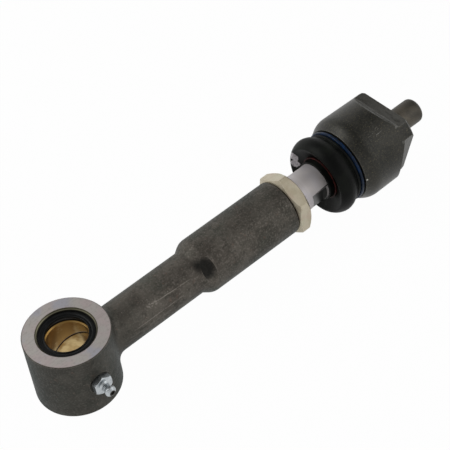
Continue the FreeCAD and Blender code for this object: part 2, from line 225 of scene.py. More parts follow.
def maskOf(tree, place, lines, layer):
    # where a layer shows: the product of the masks that it names
    masks = []
    if "size" in layer:
        masks.append(patches(tree, place, layer))
    if "spot" in layer:
        masks.append(spotAt(tree, place, layer["spot"]))
    if "outside" in layer:
        inside = spotAt(tree, place, layer["outside"])
        masks.append(addNode(tree, "ShaderNodeMath", {0: 1.0, 1: inside}, operation="SUBTRACT").outputs[0])
    if "shade" in layer:
        masks.append(shadeAlong(tree, place, layer["shade"]))
    if "streak" in layer:
        masks.append(streakRoundX(tree, place, layer["streak"]))
    if "nicks" in layer:
        masks.append(nicksIn(tree, place, layer["nicks"]))
    if "edges" in layer:
        masks.append(wornEdges(tree, layer["edges"]))
    if "rings" in layer:
        low, high = layer["rings"]
        masks.append(addNode(tree, "ShaderNodeMapRange",
                             {"Value": lines, "From Min": low, "From Max": high}).outputs["Result"])
    if "share" in layer:
        masks.append(layer["share"])
    return product(tree, masks)


def newFinish(name, plan):
    # a material with the plan's shader settings, and the sockets that its pattern is built on
    finish = bpy.data.materials.new(name)
    finish.use_nodes = True
    tree = finish.node_tree
    shader = tree.nodes["Principled BSDF"]
    for key, value in plan["shader"].items():
        shader.inputs[key].default_value = value
    place = addNode(tree, "ShaderNodeTexCoord").outputs["Object"]
    lines = latheLines(tree, place, plan["turned"]) if "turned" in plan else None
    return finish, tree, shader, place, lines


def layered(tree, place, lines, plan):
    # the plan's base colour with its layers laid over it in turn
    colours = plan["colours"]
    colour = colours["base"]
    for layer in plan["layers"]:
        colour = tint(tree, maskOf(tree, place, lines, layer), colour, colours[layer["colour"]])
    return colour


def wholeFinish(name, plan):
    # a finish that its plan says all of: the colours, the sheen, and the relief of tool lines or grains.
    # Grains finer than about 0.6 mm would not show in the render, so none is drawn smaller
    finish, tree, shader, place, lines = newFinish(name, plan)
    tree.links.new(layered(tree, place, lines, plan), shader.inputs["Base Color"])
    if "sheen" in plan:
        low, high = plan["sheen"]["roughness"]
        sheen = addNode(tree, "ShaderNodeMapRange",
                        {"Value": maskOf(tree, place, lines, plan["sheen"]), "To Min": low, "To Max": high})
        tree.links.new(sheen.outputs["Result"], shader.inputs["Roughness"])
    normal = relief(tree, lines, plan["turned"]["depth"]) if lines else None
    for grain in plan.get("grains", []):
        height = addNode(tree, "ShaderNodeTexNoise",
                         {"Vector": place, "Scale": perMm(grain["size"]), "Detail": grain["detail"]})
        normal = relief(tree, height.outputs["Fac"], grain["depth"], normal)
    if normal:
        tree.links.new(normal, shader.inputs["Normal"])
    return finish


def withLayers(plan, more):
    # the same plan with more layers on top
    return {**plan, "layers": plan["layers"] + more}


def dress(nodeName, finishes, pick=None):
    # gives a CAD node its finishes; pick chooses one for a face from its middle in mm and its normal
    mesh = nodes[nodeName].data
    mesh.materials.clear()
    for finish in finishes:
        mesh.materials.append(finish)
    for face in mesh.polygons:
        face.material_index = finishes.index(pick(face.center / mm, face.normal)) if pick else 0


def seenDirectly(tree):
    # 1 for what the camera sees, straight or mirrored or through glass, and 0 for what only gives light
    path = addNode(tree, "ShaderNodeLightPath").outputs
    seen = addNode(tree, "ShaderNodeMath", {0: path["Is Camera Ray"], 1: path["Is Glossy Ray"]},
                   operation="ADD").outputs[0]
    return addNode(tree, "ShaderNodeMath", {0: seen, 1: path["Is Transmission Ray"]},
                   operation="ADD", use_clamp=True).outputs[0]


# Camera, fitted to the outlines of the eye, tube, nut and housing in the photograph
camera = {
    "lens": 129.175,
    "sensor": 36.0,
    "place": (-0.25182, -0.51753, 0.68999),
    "right": (0.74483, -0.65959, -0.10082),
    "down": (-0.53659, -0.50229, -0.67807),
    "forward": (0.39661, 0.55915, -0.72805),
    "shift": (-0.0011, 0.0011),
    "clip": (0.05, 50.0),
}
lens = bpy.data.cameras.new("photoCamera")
lens.lens = camera["lens"]
lens.sensor_width = camera["sensor"]
lens.shift_x, lens.shift_y = camera["shift"]
lens.clip_start, lens.clip_end = camera["clip"]
cameraObject = bpy.data.objects.new("photoCamera", lens)
bpy.context.scene.collection.objects.link(cameraObject)
facing = Matrix((camera["right"], -Vector(camera["down"]), -Vector(camera["forward"]))).transposed()
cameraObject.matrix_world = Matrix.Translation(camera["place"]) @ facing.to_4x4()
bpy.context.scene.camera = cameraObject
bpy.context.scene.view_settings.view_transform = "Standard"
print("camera placed")

# Studio: an even white sky gives the light, and the one that is seen and mirrored is white at the horizon
# and grey overhead. A large key lamp stands at the upper left and a softer one at the right
studio = {
    "lightColour": "#ffffff",
    "lightLevel": 0.46,
    "horizon": "#ffffff",
    "zenith": "#848484",
    "rise": (0.15, 0.95),
    "lamps": {
        "keyLamp": {"power": 5.2, "size": 0.7, "place": (-0.35, 0.55, 0.75)},
        "fillLamp": {"power": 1.9, "size": 0.8, "place": (0.75, -0.55, 0.55)},
    },
    "target": (0.12, 0.0, 0.0),
}
world = bpy.data.worlds.new("paleStudio")
bpy.context.scene.world = world
world.use_nodes = True
sky = world.node_tree
sky.nodes.clear()
direction = addNode(sky, "ShaderNodeTexCoord").outputs["Generated"]
upward = addNode(sky, "ShaderNodeSeparateXYZ", {0: direction}).outputs["Z"]
low, high = studio["rise"]
rise = addNode(sky, "ShaderNodeMapRange", {"Value": upward, "From Min": low, "From Max": high},
               interpolation_type="SMOOTHSTEP").outputs["Result"]
shown = addNode(sky, "ShaderNodeBackground",
                {"Color": tint(sky, rise, studio["horizon"], studio["zenith"])})
giving = addNode(sky, "ShaderNodeBackground",
                 {"Color": linearColour(studio["lightColour"]), "Strength": studio["lightLevel"]})
both = addNode(sky, "ShaderNodeMixShader",
               {0: seenDirectly(sky), 1: giving.outputs[0], 2: shown.outputs[0]})
addNode(sky, "ShaderNodeOutputWorld", {"Surface": both.outputs[0]})

for lampName, lampPlan in studio["lamps"].items():
    lamp = bpy.data.lights.new(lampName, "AREA")
    lamp.energy = lampPlan["power"]
    lamp.size = lampPlan["size"]
    lampObject = bpy.data.objects.new(lampName, lamp)
    bpy.context.scene.collection.objects.link(lampObject)
    stand = Vector(lampPlan["place"])
    aim = (Vector(studio["target"]) - stand).to_track_quat("-Z", "Y")
    lampObject.matrix_world = Matrix.Translation(stand) @ aim.to_matrix().to_4x4()

# Floor: it leans by just over a degree, so that the eye's far edge and the housing both rest on it.
# The touching points are (X, Z) in mm, and half is half its width in metres
floorPlan = {
    "eyeTouch": (-23.4, -22.28),
    "housingTouch": (236.0, -27.65),
    "half": 3.0,
    "shader": {"Roughness": 0.9, "Base Color": linearColour("#c4c4c4")},
    "glow": 0.98,
}
(touchX, touchZ), (farX, farZ) = floorPlan["eyeTouch"], floorPlan["housingTouch"]
lean = math.atan2(touchZ - farZ, farX - touchX)
floorMesh = bmesh.new()
bmesh.ops.create_grid(floorMesh, x_segments=1, y_segments=1, size=floorPlan["half"])
bmesh.ops.rotate(floorMesh, verts=floorMesh.verts[:], cent=(0, 0, 0), matrix=Matrix.Rotation(lean, 3, "Y"))
bmesh.ops.translate(floorMesh, verts=floorMesh.verts[:],
                    vec=(0, 0, (touchZ + touchX * math.tan(lean)) * mm))
floorData = bpy.data.meshes.new("paperFloor")
floorMesh.to_mesh(floorData)
floorMesh.free()
floor = bpy.data.objects.new("paperFloor", floorData)
bpy.context.scene.collection.objects.link(floor)
# White studio paper: matt, and lit up where it is seen, so that it melts into the white background
paper, tree, shader = newFinish("matt white studio paper", floorPlan)[:3]
glow = addNode(tree, "ShaderNodeEmission", {"Color": (1, 1, 1, 1)})
share = product(tree, [seenDirectly(tree), floorPlan["glow"]])
both = addNode(tree, "ShaderNodeMixShader", {0: share, 1: shader.outputs[0], 2: glow.outputs[0]})
tree.links.new(both.outputs[0], tree.nodes["Material Output"].inputs["Surface"])
floorData.materials.append(paper)
print("studio and floor ready")

# Drop-forged steel, shot-blasted and oiled: a dull brown-grey skin with a fine grain and a few bare nicks.
# Its layers lie on one another in this order, with sizes in mm. The blasted grain of 0.2 mm is drawn at
# 0.6 mm, and aside takes a pattern from another place, so that it doesn't fall in with the one below
aside = {"Location": (0.05, 0.03, 0.04)}
forging = {
    "shader": {"Metallic": 0.6, "Roughness": 0.5, "Specular IOR Level": 0.3,
               "Specular Tint": (0.50, 0.57, 0.60, 1.0)},
    "colours": {
        "base": "#4a453f", "mid": "#605b54", "light": "#77716a", "dim": "#35342e", "eyeDark": "#31322d",
        "green": "#43463f", "cloud": "#5d5750", "bare": "#938c84", "rust": "#6f5a50", "oil": "#171614",
        "scrape": "#958f86", "drag": "#87817a", "seam": "#6c6b64",
    },
    "layers": [
        {"colour": "mid", "size": 17.0, "levels": (0.36, 0.66), "detail": 3.0},
        {"colour": "green", "share": 0.6, "size": 13.0, "levels": (0.48, 0.68), "mapping": aside},
        # painted shade: the tube is darker than the shank
        {"colour": "dim", "share": 0.55, "shade": {"along": "X", "from": 95, "to": 150}},
        {"colour": "light", "share": 0.14, "size": 1.6, "levels": (0.46, 0.68),
         "mapping": {"Scale": (0.14, 1, 1)}},
        {"colour": "cloud", "share": 0.30, "size": 4.5, "levels": (0.44, 0.62), "mapping": aside},
        {"colour": "dim", "share": 0.45, "size": 3.2, "levels": (0.50, 0.66)},
        {"colour": "light", "share": 0.40, "size": 1.1, "levels": (0.46, 0.70)},
        # painted shade: darker towards the eye
        {"colour": "eyeDark", "share": 0.50, "shade": {"along": "X", "from": 52, "to": 22}},
        {"colour": "rust", "share": 0.35, "size": 2.4, "levels": (0.62, 0.72), "mapping": aside},
        {"colour": "scrape", "streak": {"from": (50, 135), "to": (80, 141), "width": 1.7, "wander": 2.0}},
        {"colour": "drag", "streak": {"from": (34, 164), "to": (72, 165), "width": 1.6, "wander": 2.0}},
        {"colour": "seam", "streak": {"from": (30, 176), "to": (64, 181), "width": 2.0, "wander": 2.0}},
        # the scuff on the shank
        {"colour": "bare", "share": 0.8, "size": 1.1, "levels": (0.46, 0.58),
         "spot": {"centre": (50.5, -10.0, 9.4), "half": (5.5, 2.4, 2.6), "grain": 1.3, "ragged": 1.0,
                  "soft": 0.9}},
        {"colour": "bare", "share": 0.7, "size": 9.0, "levels": (0.52, 0.56), "mapping": aside,
         "nicks": {"apart": 3.4, "outer": 0.10, "inner": 0.04}},
        # painted shade: the top of the step is darker than the shank and the tube
        {"colour": "dim", "share": 0.45,
         "spot": {"centre": (87.0, 1.0, 15.5), "half": (6.5, 9.0, 5.0), "grain": 2.0, "ragged": 0.4,
                  "soft": 0.9}},
    ],
    "worn": {"colour": "bare", "share": 0.40, "edges": 0.7},
    # painted shade in the round hollow across the step and on the skin round it
    "poolOutside": {"colour": "oil", "share": 0.85,
                    "spot": {"centre": (86.6, -8.8, 11.6), "half": (5.8, 6.4, 6.8), "grain": 2.0,
                             "ragged": 0.3, "soft": 0.9}},
    "poolInside": {"colour": "oil", "share": 0.88,
                   "spot": {"centre": (88.6, -11.5, 9.5), "half": (8.0, 8.5, 9.5), "grain": 2.0,
                            "ragged": 0.25, "soft": 0.55}},
    "sheen": {"size": 1.1, "levels": (0.46, 0.70), "roughness": (0.56, 0.44)},
    "grains": [{"size": 8.0, "detail": 2.0, "depth": 0.4}, {"size": 0.6, "detail": 5.0, "depth": 0.09}],
}


def forgedSteel(name, pool):
    # the edges are worn bare outside the painted shade, which darkens the round hollow across the step and
    # the skin round it
    return wholeFinish(name, withLayers(forging, [{**forging["worn"], "outside": pool["spot"]}, pool]))


forgedSkin = forgedSteel("shot-blasted drop-forged steel", forging["poolOutside"])
forgedHollow = forgedSteel("forged steel, dark with oil", forging["poolInside"])

# Face-turned steel: a pale lilac-grey with faint tool rings, pinker and bluer in places
facePlan = {
    "shader": {"Metallic": 0.85, "Roughness": 0.40},
    "turned": {"axis": eyeAxis, "pitch": 0.9, "depth": 0.006},
    "colours": {"base": "#b1aca7", "pink": "#b4a6a5", "blue": "#a7a6ad", "dull": "#958f8a",
                "scratch": "#8f8984", "rim": "#7c6460", "line": "#a19997"},
    "layers": [
        {"colour": "pink", "share": 0.7, "size": 11.0, "levels": (0.40, 0.62)},
        {"colour": "blue", "size": 15.0, "levels": (0.50, 0.66)},
        {"colour": "dull", "share": 0.45, "size": 1.5, "levels": (0.52, 0.70)},
        {"colour": "scratch", "share": 0.4, "size": 0.5, "levels": (0.55, 0.68),
         "mapping": {"Rotation": (0, 0, 0.7), "Scale": (0.07, 1, 1)}},
        {"colour": "rim", "share": 0.6, "edges": 0.5},
        {"colour": "line", "share": 0.16, "rings": (0.45, 0.62)},
    ],
    "sheen": {"rings": (0.0, 1.0), "roughness": (0.36, 0.50)},
}
turnedFace = wholeFinish("face-turned steel", facePlan)

# Bored and chamfered mouth: darker, oily cut steel with an olive cast, a bright line where the tool
# stopped, and painted shade inside it, down to the seal; both radii are in mm
mouth = {
    "shader": {"Metallic": 0.9, "Roughness": 0.34},
    "turned": {"axis": eyeAxis, "pitch": 0.6, "depth": 0.012},
    "colours": {"base": "#565342", "dark": "#3a372c"},
    "layers": [{"colour": "dark", "rings": (0.40, 0.65)}],
    "line": {"colour": "#8b8873", "share": 0.6, "radius": 16.75, "outer": 0.16, "inner": 0.04},
    # painted shade inside the bore, down to the seal
    "oil": {"colour": "#12110d", "radius": 16.45, "soft": 0.08},
}
boredMouth, tree, shader, place, lines = newFinish("bored steel, oily", mouth)
radius = fromAxis(tree, place, eyeAxis)
ring, oil = mouth["line"], mouth["oil"]
off = addNode(tree, "ShaderNodeMath", {0: radius, 1: ring["radius"] * mm}, operation="SUBTRACT").outputs[0]
off = addNode(tree, "ShaderNodeMath", {0: off}, operation="ABSOLUTE").outputs[0]
ringMask = addNode(tree, "ShaderNodeMapRange",
                   {"Value": off, "From Min": ring["outer"] * mm, "From Max": ring["inner"] * mm})
# painted shade inside the given radius
paintedShadeMask = addNode(tree, "ShaderNodeMapRange", {
    "Value": radius, "From Min": (oil["radius"] + oil["soft"]) * mm,
    "From Max": (oil["radius"] - oil["soft"]) * mm})
colour = layered(tree, place, lines, mouth)
colour = tint(tree, product(tree, [ringMask.outputs["Result"], ring["share"]]), colour, ring["colour"])
tree.links.new(tint(tree, paintedShadeMask.outputs["Result"], colour, oil["colour"]), shader.inputs["Base Color"])
tree.links.new(relief(tree, lines, mouth["turned"]["depth"]), shader.inputs["Normal"])

# Tube end and thread bore: turned and tapped steel, brownish and dull
cut = {
    "shader": {"Metallic": 0.8, "Roughness": 0.45},
    "turned": {"axis": rodAxis, "pitch": 0.8, "depth": 0.02},
    "colours": {"base": "#57524a", "dark": "#35312c"},
    "layers": [{"colour": "dark", "rings": (0.40, 0.65)}],
}
cutEnd = wholeFinish("turned tube end", cut)

# Where the forging's finish changes: radii from the eye's and the rod's axis and places along them, in mm,
# and the round hollow across the step, whose cutter lay off the rod's axis towards an angle
forgingMarks = {
    "eyeRadius": 25.1, "eyeFace": 22.2, "mouthRadius": 17.6, "mouthDepth": 15.0, "boreRadius": 16.1,
    "tubeEnd": 155.0, "threadStart": 90.0, "threadRadius": 13.4,
    "hollowAngle": 148, "hollowOff": 19.6, "hollowPlace": 88.5, "hollowRadius": 5.75, "hollowFloor": 13.8,
    "faceUp": 0.9, "endOn": 0.6,
}


def forgingFace(middle, normal):
    marks = forgingMarks
    fromEye = math.hypot(middle.x, middle.y)
    fromRod = math.hypot(middle.y, middle.z)
    turn = math.radians(marks["hollowAngle"])
    towards = middle.y * math.cos(turn) + middle.z * math.sin(turn)
    fromCutter = math.hypot(middle.x - marks["hollowPlace"], towards - marks["hollowOff"])
    if towards > marks["hollowFloor"] and fromCutter < marks["hollowRadius"]:
        return forgedHollow
    onEye = fromEye < marks["eyeRadius"] and abs(middle.z) > marks["eyeFace"]
    if onEye and abs(normal.z) > marks["faceUp"]:
        return turnedFace
    if fromEye < marks["mouthRadius"] and abs(middle.z) > marks["mouthDepth"]:
        return boredMouth
    if middle.x > marks["tubeEnd"] and abs(normal.x) > marks["endOn"]:
        return cutEnd
    if middle.x > marks["threadStart"] and fromRod < marks["threadRadius"]:
        return cutEnd
    if fromEye < marks["boreRadius"]:
        return boredMouth
    return forgedSkin


dress("eye_forging", [forgedSkin, turnedFace, boredMouth, cutEnd, forgedHollow], forgingFace)

# Leaded bronze, bored smooth: warm gold with browner bands and one dark oil groove. The groove starts at
# (degrees, height in mm) and its lead is the mm that it falls in a full turn
bronze = {
    "shader": {"Metallic": 1.0, "Roughness": 0.33},
    "turned": {"axis": eyeAxis, "pitch": 0.7, "depth": 0.01},
    "colours": {"base": "#c3ac7c", "deep": "#8c6d3c", "groove": "#2b1c0d"},
    "layers": [
        {"colour": "deep", "size": 8.0, "levels": (0.36, 0.58)},
        {"colour": "deep", "share": 0.3, "rings": (0.45, 0.65)},
    ],
    "groove": {"lead": 44.6, "start": (102.0, -2.2), "half": 0.78, "floor": 0.39, "depth": 0.4},
    "lip": {"share": 0.85, "from": 1.4, "to": 0.5},
}
bushBronze, tree, shader, place, lines = newFinish("bored leaded bronze", bronze)
parts = addNode(tree, "ShaderNodeSeparateXYZ", {0: place}).outputs
turn = addNode(tree, "ShaderNodeMath", {0: parts["Y"], 1: parts["X"]}, operation="ARCTAN2").outputs[0]
# the groove falls as the angle grows, so height plus angle times the lead per radian is constant along it
groove = bronze["groove"]
lead = groove["lead"] * mm / (2 * math.pi)
startAngle, startHeight = groove["start"]
level = addNode(tree, "ShaderNodeMath", {0: turn, 1: lead, 2: parts["Z"]},
                operation="MULTIPLY_ADD").outputs[0]
level = addNode(tree, "ShaderNodeMath", {0: level, 1: startHeight * mm + lead * math.radians(startAngle)},
                operation="SUBTRACT").outputs[0]
level = addNode(tree, "ShaderNodeMath", {0: level}, operation="ABSOLUTE").outputs[0]
inGroove = addNode(tree, "ShaderNodeMapRange",
                   {"Value": level, "From Min": groove["half"] * mm, "From Max": groove["floor"] * mm},
                   interpolation_type="SMOOTHSTEP").outputs["Result"]
# painted shade: the bush is darker and browner along both its rims
rise = addNode(tree, "ShaderNodeMath", {0: parts["Z"]}, operation="ABSOLUTE").outputs[0]
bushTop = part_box("eye_bush")[1][2]
lip = addNode(tree, "ShaderNodeMapRange", {"Value": rise, "From Min": bushTop - bronze["lip"]["from"] * mm,
                                           "From Max": bushTop - bronze["lip"]["to"] * mm})
rimShade = product(tree, [lip.outputs["Result"], bronze["lip"]["share"]])
colour = tint(tree, rimShade, layered(tree, place, lines, bronze), bronze["colours"]["deep"])
colour = tint(tree, inGroove, colour, bronze["colours"]["groove"])
tree.links.new(colour, shader.inputs["Base Color"])
cutDown = addNode(tree, "ShaderNodeMath", {0: 1.0, 1: inGroove}, operation="SUBTRACT").outputs[0]
bored = relief(tree, lines, bronze["turned"]["depth"])
tree.links.new(relief(tree, cutDown, groove["depth"], bored), shader.inputs["Normal"])
dress("eye_bush", [bushBronze])

# Zinc-plated steel: bright, slightly blue, with small dull clouds and bright corners, painted shade with a
# bluish reflection round the neck, and dirt in the mouth of the nipple
zinc = {
    "shader": {"Metallic": 1.0, "Roughness": 0.34},
    "colours": {"base": "#b6bbbe", "dull": "#92989a", "edge": "#e6e8ec", "neckShade": "#343945",
                "bore": "#2b2925"},
    "layers": [
        {"colour": "dull", "share": 0.5, "size": 2.2, "levels": (0.40, 0.65)},
        {"colour": "edge", "share": 0.5, "edges": 0.3},
        # painted shade with a bluish reflection round the nipple's neck
        {"colour": "neckShade", "share": 0.8, "spot": {"centre": (0.0, -29.2, 0.0), "half": (3.0, 1.8, 3.0),
                                                  "grain": 1.0, "ragged": 0.3, "soft": 0.4}},
        {"colour": "bore", "spot": {"centre": (0.0, -35.3, 0.0), "half": (2.1, 1.4, 2.1),
                                    "grain": 1.0, "ragged": 0.2, "soft": 0.2}},
    ],
    "grains": [{"size": 0.8, "detail": 3.0, "depth": 0.002}],
}
brightZinc = wholeFinish("bright zinc plate", zinc)
# Steel under old grease: a dull brown-black
grease = {
    "shader": {"Metallic": 0.6, "Roughness": 0.5},
    "colours": {"base": "#2b2925", "dry": "#3d3a34"},
    "layers": [{"colour": "dry", "size": 0.8, "levels": (0.40, 0.65)}],
    "mouthRadius": 1.75,
}
greased = wholeFinish("steel under old grease", grease)


def nippleFace(middle, normal):
    facesIn = normal.x * middle.x + normal.z * middle.z < 0
    return greased if facesIn and math.hypot(middle.x, middle.z) < grease["mouthRadius"] else brightZinc


dress("grease_nipple", [brightZinc, greased], nippleFace)
dress("nipple_ball", [greased])
dress("nipple_spring", [brightZinc])

# Yellow-passivated zinc on the jam nut: a matt cream skin with green and pink clouds and paler corners
nutAside = {"Location": (0.03, 0.05, 0.02)}
nut = {
    "shader": {"Metallic": 0.55, "Roughness": 0.40},
    "colours": {"base": "#b1a790", "pale": "#bdb49f", "green": "#a9a98f", "pink": "#b5a08f",
                "brown": "#8b7a5c", "corner": "#ddd6c4"},
    "layers": [
        {"colour": "pale", "size": 7.0, "levels": (0.40, 0.62)},
        {"colour": "green", "share": 0.55, "size": 9.0, "levels": (0.50, 0.70)},
        {"colour": "pink", "share": 0.5, "size": 8.0, "levels": (0.50, 0.70), "mapping": nutAside},
        {"colour": "brown", "share": 0.35, "size": 0.9, "levels": (0.60, 0.72), "mapping": nutAside},
        {"colour": "corner", "share": 0.45, "edges": 0.5},
    ],
    "grains": [{"size": 1.2, "detail": 4.0, "depth": 0.03}],
}
dress("jam_nut", [wholeFinish("cream passivated zinc", nut)])

# Turned bar: smooth lilac-grey steel with very fine feed lines, and painted shade that darkens it towards
# the flats
rod = {
    "shader": {"Metallic": 0.5, "Roughness": 0.52},
    "turned": {"axis": rodAxis, "pitch": 0.5, "depth": 0.010},
    "colours": {"base": "#d2cccb", "blue": "#cac6ca", "line": "#afa8a6", "dull": "#837e7c"},
    "layers": [
        {"colour": "blue", "size": 9.0, "levels": (0.42, 0.64)},
        {"colour": "line", "share": 0.35, "rings": (0.42, 0.64)},
        # painted shade: darker towards the flats and the boot
        {"colour": "dull", "share": 0.5, "shade": {"along": "X", "from": 166, "to": 174}},
    ],
}
turnedBar = wholeFinish("turned bar steel", rod)
# The rod's two wrench flats: milled and oily, in soft passes of the cutter, and painted dark as a
# reflection of the black boot. They lie between two places along the rod, and nearer to its axis than its
# own radius, in mm
rodFlats = {
    "shader": {"Metallic": 0.8, "Roughness": 0.30},
    # painted reflection: dark where the flats mirror the black boot
    "dark": "#2f302f",
    "light": "#484846",
    "passes": 3.0,
    "depth": 0.02,
    "from": 172.4,
    "to": 183.6,
    "radius": 11.99,
}
milledFlat, tree, shader, place = newFinish("milled flat, oiled", rodFlats)[:4]
passes = addNode(tree, "ShaderNodeTexNoise",
                 {"Vector": place, "Scale": perMm(rodFlats["passes"]), "Detail": 3.0}).outputs["Fac"]
tree.links.new(tint(tree, passes, rodFlats["dark"], rodFlats["light"]), shader.inputs["Base Color"])
tree.links.new(relief(tree, passes, rodFlats["depth"]), shader.inputs["Normal"])


def rodFace(middle, normal):
    onFlats = rodFlats["from"] < middle.x < rodFlats["to"]
    return milledFlat if onFlats and math.hypot(middle.y, middle.z) < rodFlats["radius"] else turnedBar


dress("ball_stud", [turnedBar, milledFlat], rodFace)

# Housing: forged and oil-blacked steel, green-brown with fine yellowish specks of dust and rust, scored
# on its upper shoulder and chipped beside the boot. The specks are drawn coarser than real dust
cup = {
    "shader": {"Metallic": 0.45, "Roughness": 0.42, "Specular IOR Level": 0.4},
    "colours": {"base": "#21211d", "mid": "#2c2b26", "light": "#3f3d36", "speck": "#615a45",
                "bare": "#86847e", "chip": "#b8b6ae", "flat": "#5b5a56", "runOut": "#6a6965"},
    "layers": [
        {"colour": "mid", "size": 12.0, "levels": (0.38, 0.62)},
        {"colour": "light", "share": 0.45, "size": 1.2, "levels": (0.45, 0.68)},
        {"colour": "speck", "share": 0.52, "size": 0.7, "levels": (0.58, 0.68)},
        {"colour": "bare", "share": 0.7, "size": 0.45, "levels": (0.58, 0.68),
         "mapping": {"Rotation": (0.3, 0.9, 0.2), "Scale": (0.16, 1, 1)},
         "spot": {"centre": (222.0, -14.0, 24.0), "half": (9.0, 9.0, 7.0), "grain": 4.0, "ragged": 0.8,
                  "soft": 0.9}},
        {"colour": "bare", "share": 0.40, "edges": 0.8},
        {"colour": "chip", "spot": {"centre": (204.9, -24.2, 3.0), "half": (0.6, 0.8, 0.6), "grain": 0.8,
                                    "ragged": 0.4, "soft": 0.3}},
    ],
    # the milled flats and the slopes at their feet are rubbed lighter in patches, and carry a painted
    # highlight that grows towards the nipple's side
    "rubbedAndLitFlat": {"colour": "flat", "size": 1.6, "levels": (0.15, 0.60),
                   "mapping": {"Scale": (1, 0.3, 0.3)},
                   "shade": {"along": "Y", "from": 12, "to": -8, "low": 0.3, "high": 0.65}},
    "litFoot": {"colour": "runOut", "size": 1.6, "levels": (0.15, 0.60),
                   "mapping": {"Scale": (1, 0.3, 0.3)},
                   "shade": {"along": "Y", "from": 12, "to": -8, "low": 0.3, "high": 0.6}},
    "grains": [{"size": 0.8, "detail": 5.0, "depth": 0.08}],
}
blackedSteel = wholeFinish("oil-blacked forged steel", cup)
# the flats and their feet with their rubbing and painted highlight
blackedFlat = wholeFinish("oil-blacked milled flat", withLayers(cup, [cup["rubbedAndLitFlat"]]))
blackedFoot = wholeFinish("foot of a milled flat, painted highlight", withLayers(cup, [cup["litFoot"]]))

# The housing's pin: turned and thinly blacked, so its brown-grey tool lines show, and darker at the tip
pin = {
    "shader": {"Metallic": 0.6, "Roughness": 0.50},
    "turned": {"axis": rodAxis, "pitch": 0.7, "depth": 0.010},
    "colours": {"base": "#4d4941", "cloud": "#5b554b", "line": "#2d2a25", "tip": "#25241f"},
    "layers": [
        {"colour": "cloud", "size": 6.0, "levels": (0.40, 0.62)},
        {"colour": "line", "share": 0.3, "rings": (0.0, 1.0)},
        {"colour": "tip", "share": 0.6, "shade": {"along": "X", "from": 258, "to": 270}},
    ],
}
turnedPin = wholeFinish("turned pin, blacked", pin)

# Where the housing's finish changes: places along the rod's axis and distances from it in mm, the
# directions of the three flats in degrees from +Y towards +Z, and how squarely a face looks that way
housingMarks = {
    "pinStart": 245.02, "pinRadius": 10.0,
    "flatTurns": (90, 196, -16), "flatFrom": 233.5, "flatTo": 245.0, "flatOff": 19.75, "flatSquare": 0.99,
    "footFrom": 19.7, "footTo": 20.7, "footEnd": 238.5, "footSquare": 0.70, "slack": 0.05,
}


def housingFace(middle, normal):
    marks = housingMarks
    if middle.x > marks["pinStart"] and math.hypot(middle.y, middle.z) < marks["pinRadius"]:
        return turnedPin
    if marks["flatFrom"] < middle.x < marks["flatTo"]:
        for degrees in marks["flatTurns"]:
            turn = math.radians(degrees)
            out = middle.y * math.cos(turn) + middle.z * math.sin(turn)
            square = normal.y * math.cos(turn) + normal.z * math.sin(turn)
            if abs(out - marks["flatOff"]) < marks["slack"] and square > marks["flatSquare"]:
                return blackedFlat
            atFoot = marks["footFrom"] < out < marks["footTo"] and middle.x < marks["footEnd"]
            if atFoot and square > marks["footSquare"]:
                return blackedFoot
    return blackedSteel


dress("housing", [blackedSteel, turnedPin, blackedFlat, blackedFoot], housingFace)

# Inside the joint: seats of moulded acetal, milky and slightly glossy
seats = {
    "shader": {"Roughness": 0.35, "IOR": 1.48},
    "colours": {"base": "#e5e0d3", "cloud": "#d6d0c0"},
    "layers": [{"colour": "cloud", "size": 3.0, "levels": (0.40, 0.65)}],
}
acetal = wholeFinish("moulded acetal", seats)
dress("front_seat", [acetal])
dress("rear_seat", [acetal])

# Ring and disc spring of blued spring steel: smooth, dark and bluish
springs = {
    "shader": {"Metallic": 1.0, "Roughness": 0.32},
    "colours": {"base": "#6b6e74", "dark": "#50535a"},
    "layers": [{"colour": "dark", "size": 2.0, "levels": (0.40, 0.65)}],
}
springSteel = wholeFinish("blued spring steel", springs)
dress("retaining_ring", [springSteel])
dress("seat_spring", [springSteel])

# Clamp ring of the boot: spring wire in dark blue lacquer, with a painted highlight along its edges
clampRing = {
    "shader": {"Roughness": 0.38, "IOR": 1.5, "Specular IOR Level": 0.16},
    "colours": {"base": "#051528", "cloud": "#082341", "edge": "#2f5788"},
    "layers": [
        {"colour": "cloud", "size": 3.0, "levels": (0.42, 0.62)},
        # painted highlight along the ring's edges
        {"colour": "edge", "share": 0.2, "edges": 0.2},
    ],
}
dress("boot_clamp_ring", [wholeFinish("dark blue lacquer", clampRing)])

# Neck ring of the boot: the same wire in dull red
neckRing = {
    "shader": {"Roughness": 0.5, "IOR": 1.5, "Specular IOR Level": 0.1},
    "colours": {"base": "#240c0b", "cloud": "#3a1310"},
    "layers": [{"colour": "cloud", "size": 3.0, "levels": (0.42, 0.62)}],
}
dress("boot_neck_ring", [wholeFinish("dull red lacquer", neckRing)])
print("CAD nodes dressed")

